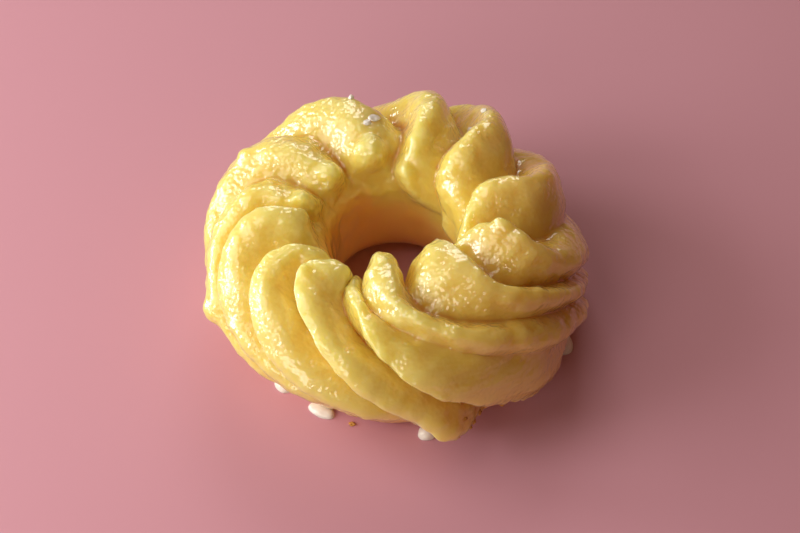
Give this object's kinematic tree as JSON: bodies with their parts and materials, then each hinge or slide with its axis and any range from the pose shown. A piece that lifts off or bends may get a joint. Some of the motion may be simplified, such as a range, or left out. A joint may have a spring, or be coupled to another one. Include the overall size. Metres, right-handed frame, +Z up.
{
  "type": "cruller doughnut",
  "caption": "Glazed French cruller: a ring of fried choux dough with deep uneven spiral ridges, a round centre hole and a flat foot.",
  "frame": {"origin": "centre of the ring's bounding box, on the surface it rests on", "axes": "+Z up through the hole; +X to the right and +Y to the back as the ring is usually seen"},
  "size_m": [0.0852, 0.087, 0.0371],
  "materials": {
    "glazed_choux": "fried choux dough under a thin, wet-looking sugar glaze"
  },
  "bodies": {
    "root": {"cruller": "glazed_choux"}
  },
  "joints": []
}
